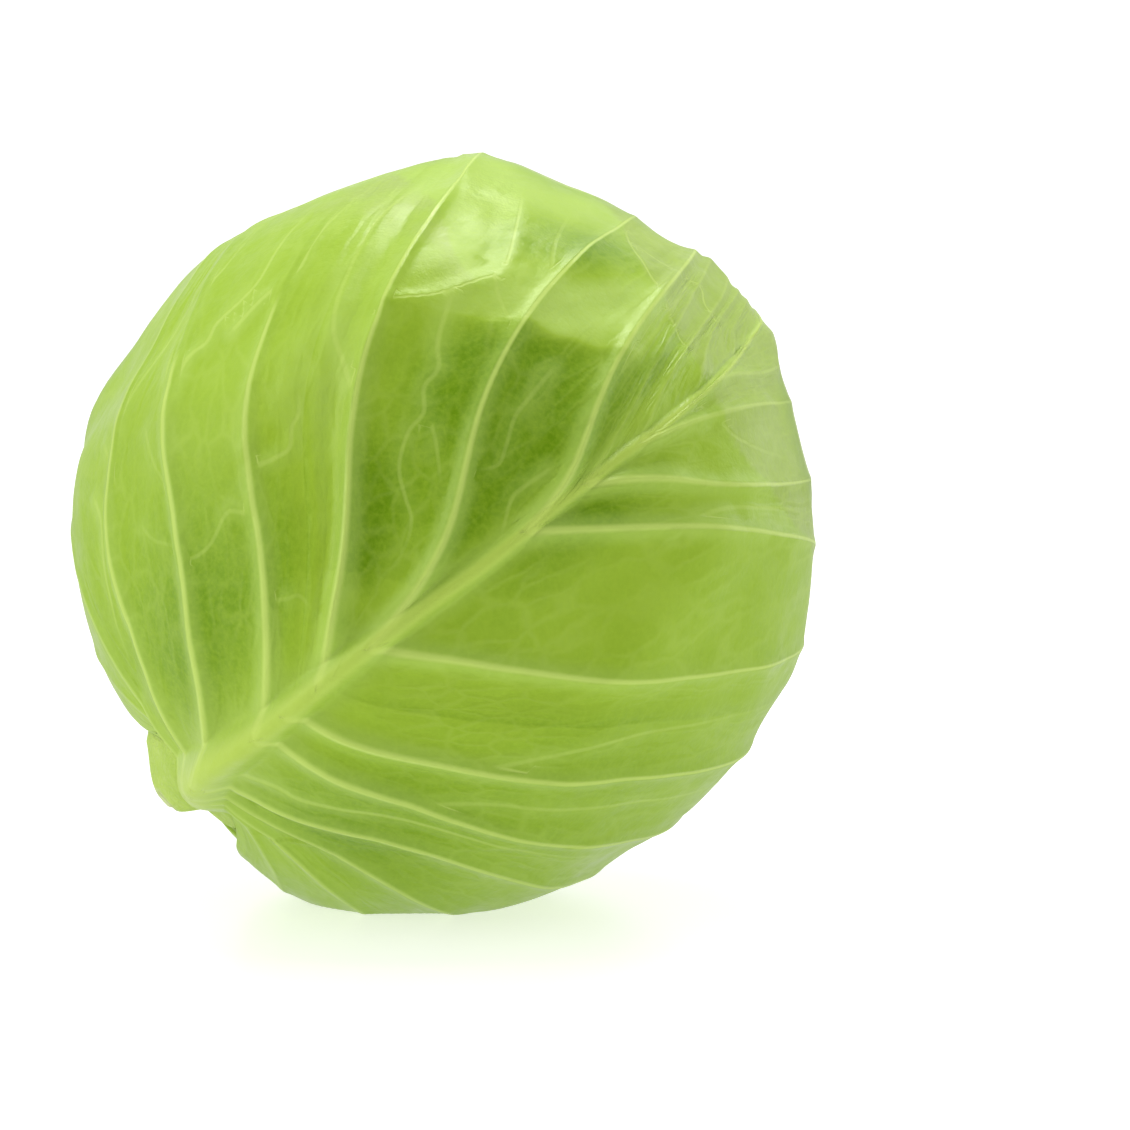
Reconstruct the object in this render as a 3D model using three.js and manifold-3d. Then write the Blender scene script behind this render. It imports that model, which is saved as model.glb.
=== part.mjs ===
// A whole green cabbage head, as cut and lying on its side on a flat surface.
// Millimetres, +Z up. The origin is the middle of the small flat spot that the head lies on.
//
// The head is built as it grew. A woody stem runs into a heart of tight inner leaves, and five wrapper
// leaves leave the stem end and close over the heart, each one lying on those inside it. Every leaf is one
// thin solid with its midrib, its side veins and its waved edge. Directions from the middle of the head are
// unit vectors. A leaf is drawn on its own chart: degrees of arc from the leaf's middle, x across its midrib
// and y along it, away from the stem, so that the stem is at (0, -90) and the head's crown at (0, 90).
import * as THREE from "three";
import Module from "manifold-3d";

const wasm = await Module();
wasm.setup();

// ---------------------------------------------------------------- driving dimensions
const HEART_RADIUS = 81.7; // middle of the head to the innermost wrapper leaf
const REST_HEIGHT = 88.2; // middle of the head above the surface it lies on
const STEM_DIP = 42; // degrees that the stem end points below level
const STEM_TURN = 18; // degrees that the stem end is turned from -X towards -Y
const LEAF_THICKNESS = 1.2;
const LEAF_GAP = 1.25; // air between a leaf and the one it lies on
const STEM_FLARE = 9; // half angle of the stem where it leaves the heart, about the middle of the head
const STEM_END = 93; // middle of the head to the cut face of the stem
const STEM_ROUNDING = 8; // of the worn edge of the cut face
const STEM_TIP = 12; // how far the stem reaches beyond the middle of the head, and its radius there
const STEM_CLEARANCE = 0.4;

// The head's own shape: how far it is drawn in at the stem end and flattened at the crown.
const STEM_DIMPLE = { depth: 9, width: 21 };
const CROWN_FLAT = { depth: 3, width: 40 };
// Broad swellings and hollows of the head: degrees from the stem, bearing round it, millimetres, width.
const SWELLINGS = [
  [22, -104, 4.8, 21],
  [12, -115, 1.5, 9],
  [50, -90, -1.8, 15],
  [8, 90, 3.6, 14],
  [26, 96, -2.0, 16],
  [46, 104, -1.8, 14],
  [72, 96, -0.8, 16],
  [108, 92, -1.6, 15],
  [149, 84, 3.8, 14],
  [174, 10, -0.8, 14],
  [146, -72, 2.0, 18],
  [168, -70, 1.6, 14],
  [82, 18, -1.6, 18],
  [75, 170, 2.2, 24],
  [115, -140, 2.0, 24],
  [110, 150, -2.4, 20],
  [60, -150, -2.0, 18],
];

// ---------------------------------------------------------------- the leaf pattern
// Lines that run from the midrib to the edge, in order from the stalk to the tip. Each starts on the midrib
// at the height of STARTS and passes three points of the chart, the last of them on the edge. Then the
// height of its vein in millimetres, how far the blade is raised along it, and between it and the next.
const STARTS = [-80.5, -80, -79, -78.5, -77, -72, -52, -45, -38, -28, 1, 13, 25, 40, 56, 72];
const LEFT_LINES = [
  [6, -80.3, 11, -80.6, 16, -82, 0, 0, 0],
  [13, -80, 22, -86, 30, -101, 0, 0, 0],
  [22, -79, 38, -88, 58, -104, 0.7, 0.4, 0.2],
  [32, -74, 62, -69, 92, -72, 0.9, 0.8, 0.3],
  [36, -62, 63, -44.5, 100.5, 18, 1.1, 1.2, 0.4],
  [31, -46.5, 70, -17, 92.5, 38, 1.2, 1.4, 0.3],
  [30.2, -29.3, 54.8, -7, 76, 53, 1.3, 1.3, 0.9],
  [28.5, -21, 48.5, 1.5, 68, 63, 0, 0.9, 1.2],
  [27, -13, 42.5, 9.5, 60, 71, 1.5, 2.6, 0],
  [14, -1.6, 24.2, 22.4, 23.5, 80, 1.5, 1.6, 0.1],
  [6.3, 19.4, 11, 38.8, 8, 86, 1.3, 1.6, 0.3],
  [4, 32, 6, 53, 4, 86, 0.6, 0.6, 0.2],
  [2, 42, 1, 60, -1, 87, 0.6, 0.5, 0.2],
  [-1, 53, -2, 68, -5, 87.5, 0.5, 0.5, 0.2],
  [-5, 65, -6, 75, -8, 88, 0.4, 0.3, 0.1],
  [-10, 77, -10.5, 82.5, -11, 88, 0, 0.3, 0],
];
const RIGHT_LINES = [
  [4, -80.5, 9, -80.8, 14, -82, 0, 0, 0],
  [11, -80, 20, -86, 29, -101, 0, 0, 0],
  [20, -78, 36, -87, 56, -104, 0.7, 0.4, 0.2],
  [26, -69, 54, -70, 88, -84, 0.9, 0.8, 0.2],
  [24, -60, 56, -54, 105, -52, 1.0, 1.0, 0.2],
  [23, -51, 51, -39, 108, -22, 1.1, 1.1, 0.2],
  [20, -42, 47, -28, 103, 4, 1.2, 1.2, 0.3],
  [17, -33, 42, -14, 92.5, 26, 1.3, 1.4, 0.2],
  [15, -24, 37, -4, 83.5, 34.5, 0, 0.2, 0.2],
  [14, -13, 35, 5, 73, 42, 1.3, 1.3, 0.2],
  [10.2, 14.7, 29, 32.5, 54, 52, 1.2, 1.1, 0.2],
  [10.3, 25.6, 21, 35.5, 38, 56, 1.2, 1.1, 0.2],
  [7, 37, 14, 49, 25, 65, 0.9, 0.8, 0.2],
  [8, 51, 14, 60, 20, 73, 0.7, 0.5, 0.2],
  [9, 65, 12, 72, 17, 80, 0.4, 0.3, 0.1],
  [10, 77, 10.5, 82.5, 11, 88, 0, 0.3, 0],
];
const LAST_LINE = STARTS.length - 1;
// The midrib's own line, height and half width at stations along it: y, x, height, half width.
const MIDRIB = [
  [-81, 1, 6.0, 11.5],
  [-75, 3, 7.2, 9.0],
  [-66, 5, 6.6, 6.4],
  [-50, 5.6, 4.8, 4.5],
  [-30, 5.8, 3.4, 3.3],
  [-8, 3.2, 2.4, 2.5],
  [14, 0.6, 1.7, 1.9],
  [44, -5.3, 1.0, 1.4],
  [72, -10.2, 0.5, 1.0],
  [88, -11, 0.0, 0.8],
];
const ROW_LENGTH = 14; // step of the mesh along a line
const COLUMN_WIDTH = 15.5; // widest step of the mesh between lines
const RIPPLE = { arc: 0.011, count: 9 }; // waves of the edge: share of a line's length, waves in a turn

// The wrapper leaves, outermost first: bearing of the midrib round the stem, width and length against the
// pattern, whether the pattern is mirrored, and whether its side veins stand out.
const LEAVES = [
  { name: "wrapper_leaf_1", bearing: -5, wide: 1, long: 1, mirror: false, veined: true },
  { name: "wrapper_leaf_2", bearing: 138, wide: 0.82, long: 1.1, mirror: true, veined: true },
  { name: "wrapper_leaf_3", bearing: -128, wide: 0.84, long: 0.94, mirror: false, veined: true },
  { name: "wrapper_leaf_4", bearing: 66, wide: 0.8, long: 1.08, mirror: false, veined: false },
  { name: "wrapper_leaf_5", bearing: -60, wide: 0.82, long: 1.04, mirror: true, veined: false },
];

const COLOURS = {
  leaf: [0xa9d05a, 0xa2cc56, 0xb0d566, 0xb8dc74, 0xbfe080],
  heart: 0xd6e8a0,
  stem: 0xe4e8c0,
};

// ---------------------------------------------------------------- small helpers
const RAD = Math.PI / 180;
const clamp = (t, low, high) => Math.min(high, Math.max(low, t));
const smooth = (t) => {
  const u = clamp(t, 0, 1);
  return u * u * (3 - 2 * u);
};

// Smooth curve through rows of numbers that are one unit apart (Catmull-Rom).
function through(rows, t) {
  const i = clamp(Math.floor(t), 0, rows.length - 2);
  const f = t - i;
  const at = (k) => rows[clamp(k, 0, rows.length - 1)];
  return rows[i].map((_, c) => {
    const [a, b, d, e] = [at(i - 1)[c], at(i)[c], at(i + 1)[c], at(i + 2)[c]];
    return b + 0.5 * f * (d - a + f * (2 * a - 5 * b + 4 * d - e + f * (3 * (b - d) + e - a)));
  });
}

// x, height and half width of the midrib at y.
function midribAt(y) {
  let i = 0;
  while (i < MIDRIB.length - 2 && MIDRIB[i + 1][0] < y) i += 1;
  const f = clamp((y - MIDRIB[i][0]) / (MIDRIB[i + 1][0] - MIDRIB[i][0]), 0, 1);
  const [, x, height, half] = through(MIDRIB, i + f);
  return { x, height: Math.max(height, 0), half };
}

// ---------------------------------------------------------------- the head's own frame
const STEM = new THREE.Vector3(
  -Math.cos(STEM_DIP * RAD) * Math.cos(STEM_TURN * RAD),
  -Math.cos(STEM_DIP * RAD) * Math.sin(STEM_TURN * RAD),
  -Math.sin(STEM_DIP * RAD),
);
const FRONT = new THREE.Vector3(0, -1, 0).addScaledVector(STEM, STEM.y).normalize();
const SIDE = new THREE.Vector3().crossVectors(STEM, FRONT);
const MIDDLE = new THREE.Vector3(0, 0, REST_HEIGHT);

// Unit vector at an angle from the stem and a bearing round it.
function headDirection(angle, bearing) {
  const [a, b] = [angle * RAD, bearing * RAD];
  return new THREE.Vector3()
    .addScaledVector(STEM, Math.cos(a))
    .addScaledVector(FRONT, Math.sin(a) * Math.cos(b))
    .addScaledVector(SIDE, Math.sin(a) * Math.sin(b));
}

const swellings = SWELLINGS.map(([angle, bearing, height, width]) => ({
  at: headDirection(angle, bearing),
  height,
  width: width * RAD,
}));

// Radius on which the innermost wrapper leaf lies.
function heartRadius(d) {
  const fromStem = Math.acos(clamp(d.dot(STEM), -1, 1)) / RAD;
  let r = HEART_RADIUS;
  r -= STEM_DIMPLE.depth * Math.exp(-((fromStem / STEM_DIMPLE.width) ** 2));
  r -= CROWN_FLAT.depth * Math.exp(-(((180 - fromStem) / CROWN_FLAT.width) ** 2));
  for (const s of swellings) {
    const away = Math.acos(clamp(d.dot(s.at), -1, 1)) / s.width;
    r += s.height * Math.exp(-away * away);
  }
  return r;
}

// ---------------------------------------------------------------- a leaf's chart and outline
class Leaf {
  constructor(order, { name, bearing, wide, long, mirror, veined }) {
    Object.assign(this, { order, name, veined });
    this.middle = headDirection(90, bearing);
    this.across = headDirection(90, bearing + 90);
    this.along = STEM.clone().negate();
    this.side = mirror ? -1 : 1;
    this.wide = wide;
    this.long = long;
    this.lines = [this.placedLines(LEFT_LINES, 1), this.placedLines(RIGHT_LINES, -1)];
    this.outline = this.polarOutline();
  }

  // The leaf's own scale: its width narrows away from the stalk, its length grows beyond the middle.
  scaled(x, y) {
    const share = smooth((y + 95) / 50);
    return [x * (1 + (this.wide - 1) * share), y > 0 ? y * this.long : y];
  }

  // Each line as the four points that it passes, then its vein height, raise and panel level.
  placedLines(table, sign) {
    return table.map(([x1, y1, x2, y2, x3, y3, ...relief], i) => {
      const turn = Math.atan2(sign * x3, y3) * sign;
      const start = [midribAt(STARTS[i]).x, STARTS[i]];
      return [...start, sign * x1, y1, sign * x2, y2, sign * x3, y3, ...relief, turn];
    });
  }

  // Point of the chart on line a, counted from the stalk with fractions between lines, at share b of it.
  chart(half, a, b) {
    const p = through(this.lines[half], a);
    p[0] = midribAt(p[1]).x;
    const waves = Math.sin(RIPPLE.count * p[11] + half * 2) + 0.6 * Math.sin(RIPPLE.count * 2.3 * p[11]);
    const t = b * (1 + RIPPLE.arc * waves * b * b * smooth(LAST_LINE - a));
    const [u, v, w] = [3 * t - 1, 3 * t - 2, 3 * t - 3];
    const share = [(-u * v * w) / 6, (3 * t * v * w) / 2, (-3 * t * u * w) / 2, (3 * t * u * v) / 6];
    const along = (k) => share[0] * p[k] + share[1] * p[k + 2] + share[2] * p[k + 4] + share[3] * p[k + 6];
    return [along(0), along(1)];
  }

  // Millimetres on the head between two points given by line and share.
  span(half, a0, b0, a1, b1) {
    const p = this.direction(...this.chart(half, a0, b0));
    return p.angleTo(this.direction(...this.chart(half, a1, b1))) * HEART_RADIUS;
  }

  direction(x, y) {
    const [sx, sy] = this.scaled(x, y);
    const far = Math.hypot(sx, sy);
    const arc = far * RAD;
    const k = far > 1e-9 ? Math.sin(arc) / far : RAD;
    return new THREE.Vector3()
      .addScaledVector(this.middle, Math.cos(arc))
      .addScaledVector(this.across, k * sx * this.side)
      .addScaledVector(this.along, k * sy);
  }

  // The edge as directions, and as distance from the leaf's middle against the angle round it.
  polarOutline() {
    this.edge = [];
    const points = [];
    for (const half of [0, 1]) {
      for (let k = 0; k <= LAST_LINE * 8; k += 1) {
        const [x, y] = this.chart(half, k / 8, 1);
        this.edge.push(this.direction(x, y));
        const [sx, sy] = this.scaled(x, y);
        points.push([Math.atan2(sx, sy) / RAD, Math.hypot(sx, sy)]);
      }
    }
    points.sort((p, q) => p[0] - q[0]);
    const first = points[0];
    const last = points[points.length - 1];
    return [[last[0] - 360, last[1]], ...points, [first[0] + 360, first[1]]];
  }

  // Degrees of arc from a direction to this leaf's edge, negative inside the leaf.
  beyondEdge(d) {
    const arc = Math.acos(clamp(d.dot(this.middle), -1, 1)) / RAD;
    const angle = Math.atan2(d.dot(this.across) * this.side, d.dot(this.along)) / RAD;
    const o = this.outline;
    let [low, high] = [0, o.length - 1];
    while (high - low > 1) {
      const mid = (low + high) >> 1;
      if (o[mid][0] < angle) low = mid;
      else high = mid;
    }
    const f = clamp((angle - o[low][0]) / (o[high][0] - o[low][0] || 1), 0, 1);
    const inside = arc < o[low][1] + f * (o[high][1] - o[low][1]);
    let nearest = -1;
    for (const e of this.edge) nearest = Math.max(nearest, d.x * e.x + d.y * e.y + d.z * e.z);
    return (inside ? -1 : 1) * (Math.acos(clamp(nearest, -1, 1)) / RAD);
  }
}

const leaves = LEAVES.map((facts, order) => new Leaf(order, facts));
// A leaf stays up for some degrees past the edge of one under it, then comes down.
const SHOULDER = { flat: 9, fall: 16 };
const LAYER = LEAF_THICKNESS + LEAF_GAP;

// Radius of the inside of a leaf, with every leaf under it counted.
function layRadius(order, d) {
  let r = heartRadius(d);
  for (let j = order + 1; j < leaves.length; j += 1)
    r += LAYER * smooth(1 - (leaves[j].beyondEdge(d) - SHOULDER.flat) / SHOULDER.fall);
  return r;
}

// How far everything is pressed in where the head lies on the surface.
function pressedIn(d) {
  if (d.z > -0.9) return 0;
  return Math.max(0, layRadius(0, d) + LEAF_THICKNESS - REST_HEIGHT / -d.z);
}

// 1 where a leaf lies open to the air, 0 where a leaf outside it covers it.
function openness(order, d) {
  let open = 1;
  for (let j = 0; j < order; j += 1) open *= smooth((leaves[j].beyondEdge(d) - 9) / 9);
  return open;
}

// ---------------------------------------------------------------- a leaf's solid
const RIB_PROFILE = (t) => (t >= 1 ? 0 : Math.sqrt(1 - t * t) * (1 - t * t * 0.35));
const EDGE_LIFT = { from: 0.9, height: 1.6 };

// Heights that a leaf adds to its lay: relief of both faces, and the ribs on the outside alone.
function reliefAt(leaf, half, column, b) {
  const [x, y] = leaf.chart(half, column.a(b), b);
  const a = column.a(b);
  const [raise, panel] = [through(leaf.lines[half], a)[9], through(leaf.lines[half], a)[10]];
  const between = Math.sin(Math.PI * (a - Math.floor(a)));
  const fade = smooth(b / 0.12) * (1 - 0.65 * smooth((b - 0.8) / 0.2));
  const sheet = Math.max(0, raise + (panel - raise) * between) * fade;
  const edge = smooth((b - EDGE_LIFT.from) / (1 - EDGE_LIFT.from));
  const wave = 0.5 + 0.5 * Math.cos((LAST_LINE - a) * (half ? 1.9 : 1.6) + leaf.order * 1.7);
  const rib = midribAt(y);
  const fromRib = Math.abs(x - rib.x) * RAD * HEART_RADIUS;
  const end = clamp((y + 82) / 4, 0, 1);
  const midrib = rib.height * RIB_PROFILE(fromRib / (rib.half * 1.001)) * Math.sqrt(1 - (1 - end) ** 2);
  const vein = column.crest ? through(leaf.lines[half], a)[8] * (1 - 0.8 * b) * smooth(b / 0.06) : 0;
  return { x, y, sheet: sheet + EDGE_LIFT.height * edge * wave, ribs: Math.max(midrib, vein) };
}

// Lines of the mesh from the midrib to the edge: a crest on each vein, a foot each side of it, and others.
function columnsOf(leaf, half, outside) {
  const columns = [];
  for (let i = 0; i <= LAST_LINE; i += 1) {
    const footed = outside && leaf.veined && (LEFT_LINES[i][6] > 0 || RIGHT_LINES[i][6] > 0);
    const width = (b, next) => Math.min(0.3, (2.4 - 1.2 * b) / leaf.span(half, i, b, next, b));
    if (footed) columns.push({ a: (b) => i - width(b, i - 1) });
    columns.push({ a: () => i, crest: true });
    if (footed) columns.push({ a: (b) => i + width(b, i + 1) });
    if (i === LAST_LINE) break;
    const spans = [0, 0.3, 0.6, 1].flatMap((b) => [0, 1].map((side) => leaf.span(side, i, b, i + 1, b)));
    const apart = Math.max(...spans);
    const steps = Math.max(1, Math.round(apart / COLUMN_WIDTH));
    for (let k = 1; k < steps; k += 1) columns.push({ a: () => i + k / steps });
  }
  return columns;
}

// Shares of a column's length for its rows: the midrib's crest, flank and foot, then even steps.
function rowsOf(leaf, half, column) {
  let foot = 0.02;
  while (foot < 0.3) {
    const [x, y] = leaf.chart(half, column.a(foot), foot);
    const rib = midribAt(y);
    if (Math.abs(x - rib.x) * RAD * HEART_RADIUS >= rib.half) break;
    foot += 0.01;
  }
  const lengths = [0];
  for (let k = 1; k <= 40; k += 1) {
    const [b0, b1] = [k - 1, k].map((n) => foot + ((1 - foot) * n) / 40);
    lengths.push(lengths[k - 1] + leaf.span(half, column.a(b0), b0, column.a(b1), b1));
  }
  const count = Math.max(1, Math.round(lengths[40] / ROW_LENGTH));
  const rows = [0, foot * 0.6, foot];
  for (let i = 1, k = 1; i <= count; i += 1) {
    const target = (lengths[40] * i) / count;
    while (k < 40 && lengths[k] < target) k += 1;
    const f = clamp((target - lengths[k - 1]) / (lengths[k] - lengths[k - 1]), 0, 1);
    rows.push(i === count ? 1 : foot + ((1 - foot) * (k - 1 + f)) / 40);
  }
  return rows;
}

// One face of a leaf, for each half a list of columns of points: the ribs stand out on the outside alone.
function leafFace(leaf, outside) {
  return [0, 1].map((half) =>
    columnsOf(leaf, half, outside).map((column) => {
      const shares = rowsOf(leaf, half, column);
      const points = shares.map((b) => {
        const { x, y, sheet, ribs } = reliefAt(leaf, half, column, b);
        const d = leaf.direction(x, y);
        const open = openness(leaf.order, d);
        let r = layRadius(leaf.order, d) - pressedIn(d) + sheet * open;
        if (outside) r += LEAF_THICKNESS + ribs * open;
        if (leaf.order === 0 && outside && d.z < -0.5) r = Math.min(r, REST_HEIGHT / -d.z);
        return d.multiplyScalar(r).add(MIDDLE);
      });
      return { shares, points, a: column.a(1) };
    }),
  );
}

// Collects triangles of a closed mesh; points that coincide are merged afterwards.
class Mesher {
  constructor() {
    this.points = [];
  }
  // A strip between two rows of points, which may have different counts and are matched by their shares.
  strip(rowA, sharesA, rowB, sharesB, flip) {
    let [i, j] = [0, 0];
    while (i < rowA.length - 1 || j < rowB.length - 1) {
      const stepA = j === rowB.length - 1 || (i < rowA.length - 1 && sharesA[i + 1] <= sharesB[j + 1]);
      const corners = stepA ? [rowA[i], rowA[i + 1], rowB[j]] : [rowA[i], rowB[j + 1], rowB[j]];
      if (flip) corners.reverse();
      this.points.push(...corners);
      if (stepA) i += 1;
      else j += 1;
    }
  }
  solid() {
    const keys = new Map();
    const vertices = [];
    const ids = this.points.map((p) => {
      const key = [p.x, p.y, p.z].map((v) => Math.round(v * 1e4)).join();
      if (!keys.has(key)) {
        keys.set(key, vertices.length / 3);
        vertices.push(p.x, p.y, p.z);
      }
      return keys.get(key);
    });
    const faces = [];
    for (let i = 0; i < ids.length; i += 3) {
      const [a, b, c] = [ids[i], ids[i + 1], ids[i + 2]];
      if (a !== b && b !== c && a !== c) faces.push(a, b, c);
    }
    return new wasm.Manifold(
      new wasm.Mesh({
        numProp: 3,
        vertProperties: new Float32Array(vertices),
        triVerts: new Uint32Array(faces),
      }),
    );
  }
}

function geometryOf(solid) {
  const mesh = solid.getMesh();
  const geometry = new THREE.BufferGeometry();
  geometry.setAttribute("position", new THREE.BufferAttribute(new Float32Array(mesh.vertProperties), 3));
  geometry.setIndex(new THREE.BufferAttribute(new Uint32Array(mesh.triVerts), 1));
  geometry.computeVertexNormals();
  return geometry;
}

function leafSolid(leaf) {
  const mesher = new Mesher();
  const [outer, inner] = [leafFace(leaf, true), leafFace(leaf, false)];
  for (const half of [0, 1]) {
    const turned = (half === 0) !== (leaf.side > 0);
    const face = (columns, flip) => {
      for (let c = 0; c + 1 < columns.length; c += 1) {
        const [p, q] = [columns[c], columns[c + 1]];
        mesher.strip(p.points, p.shares, q.points, q.shares, flip);
      }
    };
    face(outer[half], !turned);
    face(inner[half], turned);
    // The rim: the leaf's edge, and the end of the stalk.
    const edge = (columns) => [columns.map((c) => c.points[c.points.length - 1]), columns.map((c) => c.a)];
    mesher.strip(...edge(outer[half]), ...edge(inner[half]), turned);
    const [p, q] = [outer[half][0], inner[half][0]];
    mesher.strip(p.points, p.shares, q.points, q.shares, turned);
  }
  return mesher.solid();
}

// ---------------------------------------------------------------- the stem and the heart
// The stem widens towards its cut end, whose edge is rounded and whose face has dried slightly hollow.
function stemSolid(grow) {
  const radius = (z) => z * Math.tan(STEM_FLARE * RAD);
  const profile = [
    [0, -STEM_TIP - grow],
    [STEM_TIP * 0.6 + grow, -STEM_TIP + 2.4 - grow],
    [STEM_TIP * 0.85 + grow, -STEM_TIP + 9],
    [STEM_TIP * 0.8 + grow, 30],
    [radius(66) + grow, 66],
    [radius(STEM_END - STEM_ROUNDING) + grow, STEM_END - STEM_ROUNDING],
  ];
  for (const turn of [30, 60, 90]) {
    const [across, down] = [Math.cos(turn * RAD) - 1, Math.sin(turn * RAD) - 1];
    const edge = radius(STEM_END - STEM_ROUNDING) + STEM_ROUNDING * across;
    profile.push([edge + grow, STEM_END + STEM_ROUNDING * down + grow]);
  }
  profile.push([radius(STEM_END) * 0.35, STEM_END - 0.9 + grow], [0, STEM_END - 1.1 + grow]);
  const lathe = new THREE.LatheGeometry(
    profile.map(([r, z]) => new THREE.Vector2(r, z)),
    28,
  );
  lathe.applyQuaternion(new THREE.Quaternion().setFromUnitVectors(new THREE.Vector3(0, 1, 0), STEM));
  lathe.translate(MIDDLE.x, MIDDLE.y, MIDDLE.z);
  return solidOf(lathe);
}

function solidOf(geometry) {
  const mesher = new Mesher();
  const g = geometry.index ? geometry.toNonIndexed() : geometry;
  const p = g.getAttribute("position");
  for (let i = 0; i < p.count; i += 1) mesher.points.push(new THREE.Vector3().fromBufferAttribute(p, i));
  return mesher.solid();
}

// The heart: the packed inner leaves, with the edges of the outermost of them raised on it.
const HEART_LEAVES = [20, 160, -100, 100, -40];
const HEART_STEP = 0.8;
function heartSolid() {
  const inner = HEART_LEAVES.map(
    (bearing, i) => new Leaf(0, { bearing, wide: 0.72, long: 0.92 + 0.05 * i, mirror: i % 2 === 1 }),
  );
  const ball = new THREE.IcosahedronGeometry(1, 8);
  const p = ball.getAttribute("position");
  for (let i = 0; i < p.count; i += 1) {
    const d = new THREE.Vector3().fromBufferAttribute(p, i).normalize();
    let r = heartRadius(d) - LEAF_GAP - pressedIn(d);
    for (const leaf of inner) r -= HEART_STEP * smooth(leaf.beyondEdge(d) / 3);
    d.multiplyScalar(r).add(MIDDLE);
    p.setXYZ(i, d.x, d.y, d.z);
  }
  return solidOf(ball).subtract(stemSolid(STEM_CLEARANCE));
}

// ---------------------------------------------------------------- the head
function node(name, solid, colour, roughness) {
  const mesh = new THREE.Mesh(
    geometryOf(solid),
    new THREE.MeshStandardMaterial({ color: colour, roughness, metalness: 0 }),
  );
  mesh.name = name;
  return mesh;
}

const head = new THREE.Group();
head.name = "cabbage_head";
leaves.forEach((leaf, i) => head.add(node(leaf.name, leafSolid(leaf), COLOURS.leaf[i], 0.4)));
head.add(node("heart", heartSolid(), COLOURS.heart, 0.5));
head.add(node("stem", stemSolid(0), COLOURS.stem, 0.7));

export default head;
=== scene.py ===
import math

import bpy
import numpy as np
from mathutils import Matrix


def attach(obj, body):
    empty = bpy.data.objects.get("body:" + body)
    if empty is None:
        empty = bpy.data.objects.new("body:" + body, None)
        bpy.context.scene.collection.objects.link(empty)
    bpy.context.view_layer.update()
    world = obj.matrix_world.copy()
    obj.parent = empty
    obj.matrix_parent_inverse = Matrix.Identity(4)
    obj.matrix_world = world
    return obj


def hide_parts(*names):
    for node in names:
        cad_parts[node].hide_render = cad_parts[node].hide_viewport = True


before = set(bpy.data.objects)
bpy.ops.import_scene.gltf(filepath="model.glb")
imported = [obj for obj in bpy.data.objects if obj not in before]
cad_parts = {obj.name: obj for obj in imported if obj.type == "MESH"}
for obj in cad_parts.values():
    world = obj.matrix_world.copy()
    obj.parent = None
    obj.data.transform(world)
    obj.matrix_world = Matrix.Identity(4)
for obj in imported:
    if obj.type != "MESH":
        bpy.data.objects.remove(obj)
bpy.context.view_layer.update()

MM = 0.001

# ---------------------------------------------------------------- driving dimensions, in mm
HEART_RADIUS = 81.7
REST_HEIGHT = 88.2
STEM_DIP = 42  # degrees that the stem end points below level
STEM_TURN = 18  # degrees that the stem end is turned from -X towards -Y
LEAF_THICKNESS = 1.2
LEAF_GAP = 1.25
STEM_FLARE = 9
STEM_TIP = 12
STEM_DIMPLE = {"depth": 9, "width": 21}
CROWN_FLAT = {"depth": 3, "width": 40}
# Broad swellings and hollows: degrees from the stem, bearing round it, millimetres, width.
SWELLINGS = [
    (22, -104, 4.8, 21), (12, -115, 1.5, 9), (50, -90, -1.8, 15), (8, 90, 3.6, 14),
    (26, 96, -2.0, 16), (46, 104, -1.8, 14), (72, 96, -0.8, 16), (108, 92, -1.6, 15), (149, 84, 3.8, 14),
    (174, 10, -0.8, 14), (146, -72, 2.0, 18), (168, -70, 1.6, 14), (82, 18, -1.6, 18),
    (75, 170, 2.2, 24), (115, -140, 2.0, 24), (110, 150, -2.4, 20), (60, -150, -2.0, 18),
]

# ---------------------------------------------------------------- the leaf pattern
# Lines from the midrib to the edge: three points of the chart, then the height of the vein, how far
# the blade is raised along it, and between it and the next.
STARTS = [-80.5, -80, -79, -78.5, -77, -72, -52, -45, -38, -28, 1, 13, 25, 40, 56, 72]
LEFT_LINES = [
    (6, -80.3, 11, -80.6, 16, -82, 0, 0, 0),
    (13, -80, 22, -86, 30, -101, 0, 0, 0),
    (22, -79, 38, -88, 58, -104, 0.7, 0.4, 0.2),
    (32, -74, 62, -69, 92, -72, 0.9, 0.8, 0.3),
    (36, -62, 63, -44.5, 100.5, 18, 1.1, 1.2, 0.4),
    (31, -46.5, 70, -17, 92.5, 38, 1.2, 1.4, 0.3),
    (30.2, -29.3, 54.8, -7, 76, 53, 1.3, 1.3, 0.9),
    (28.5, -21, 48.5, 1.5, 68, 63, 0, 0.9, 1.2),
    (27, -13, 42.5, 9.5, 60, 71, 1.5, 2.6, 0),
    (14, -1.6, 24.2, 22.4, 23.5, 80, 1.5, 1.6, 0.1),
    (6.3, 19.4, 11, 38.8, 8, 86, 1.3, 1.6, 0.3),
    (4, 32, 6, 53, 4, 86, 0.6, 0.6, 0.2),
    (2, 42, 1, 60, -1, 87, 0.6, 0.5, 0.2),
    (-1, 53, -2, 68, -5, 87.5, 0.5, 0.5, 0.2),
    (-5, 65, -6, 75, -8, 88, 0.4, 0.3, 0.1),
    (-10, 77, -10.5, 82.5, -11, 88, 0, 0.3, 0),
]
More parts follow.
